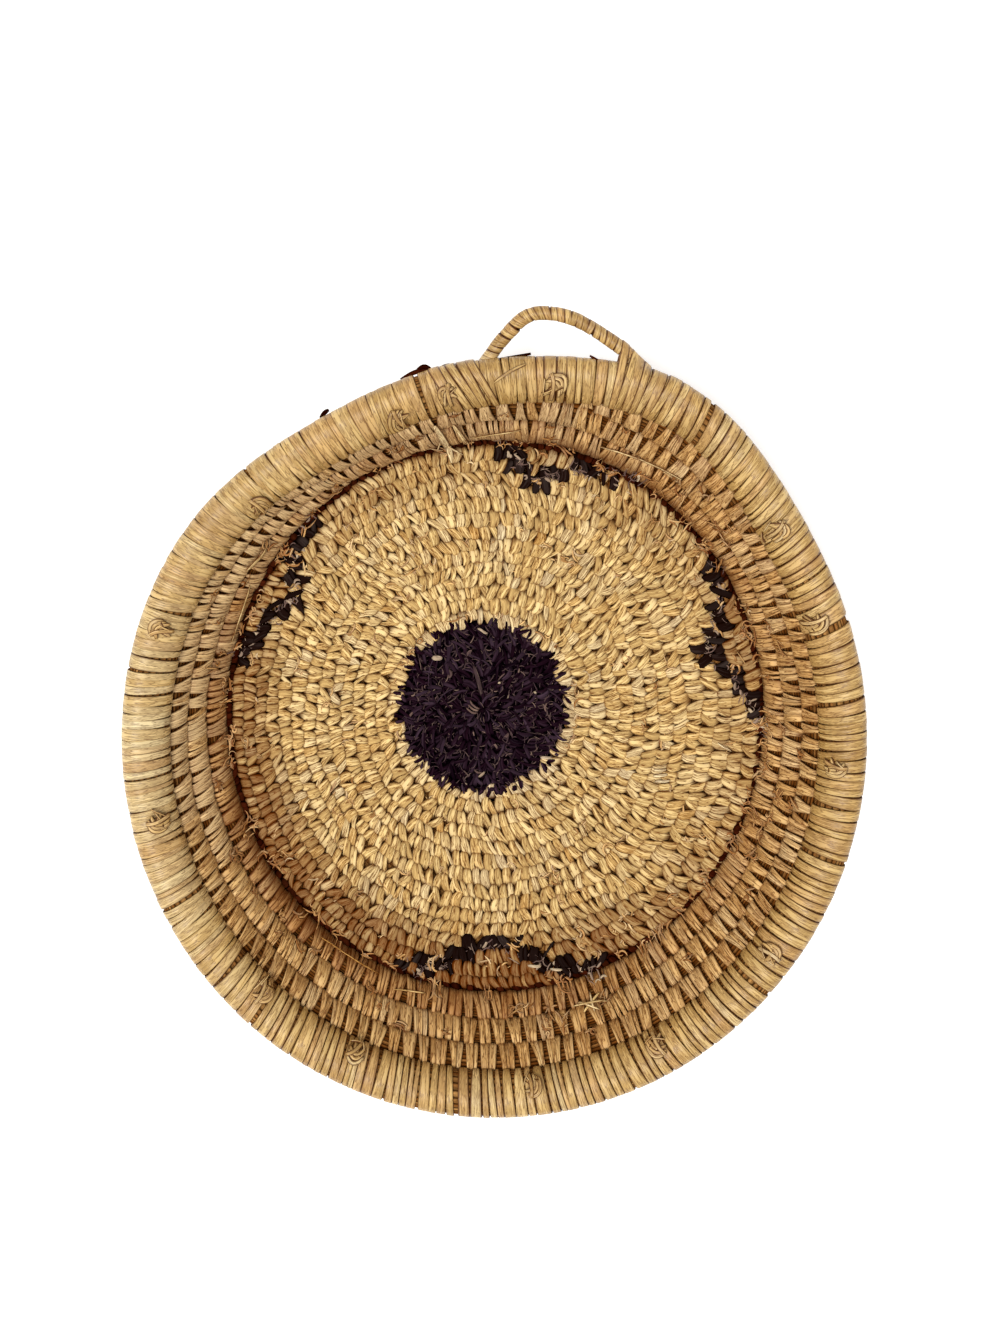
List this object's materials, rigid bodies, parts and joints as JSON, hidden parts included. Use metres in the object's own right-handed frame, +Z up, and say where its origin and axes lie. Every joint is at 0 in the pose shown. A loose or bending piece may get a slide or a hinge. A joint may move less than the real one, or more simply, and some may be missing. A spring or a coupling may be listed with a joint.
{
  "type": "woven basket bowl",
  "caption": "Shallow round basket bowl of coiled grass sewn with palm leaf, with a flat base, a flared wall, a thick bound rim and a hanging loop.",
  "frame": {"origin": "the start of the base coil, on the surface that the bowl stands on", "axes": "+Z up out of the bowl, +Y from the start of the coil towards the hanging loop"},
  "size_m": [0.2978, 0.3325, 0.0451],
  "materials": {
    "dyed_palm": "matte palm-leaf strip, dyed a dark purple-black",
    "maroon_palm": "matte palm-leaf strip, dyed maroon",
    "base_palm": "dry matte natural palm-leaf strip, golden",
    "wall_palm": "satin natural palm-leaf strip, browned",
    "rim_palm": "satin natural palm-leaf strip, straw coloured",
    "grass": "dry grass stalks in a bundle"
  },
  "bodies": {
    "root": {"start_knot": "dyed_palm", "centre_coil": "dyed_palm", "base_coil": "base_palm", "edge_coil": "maroon_palm", "wall_coil": "wall_palm", "rim_core": "grass", "rim_binding": "rim_palm", "loop_core": "grass", "loop_winding": "rim_palm", "loop_lashing_left": "rim_palm", "loop_lashing_right": "rim_palm", "strip_end_01": "rim_palm", "strip_end_02": "rim_palm", "strip_end_03": "rim_palm", "strip_end_04": "rim_palm", "strip_end_05": "rim_palm", "strip_end_06": "rim_palm", "strip_end_07": "rim_palm", "strip_end_08": "rim_palm", "strip_end_09": "rim_palm", "strip_end_10": "rim_palm", "strip_end_11": "rim_palm", "strip_end_12": "rim_palm", "strip_end_13": "rim_palm", "strip_end_14": "rim_palm"}
  },
  "joints": []
}
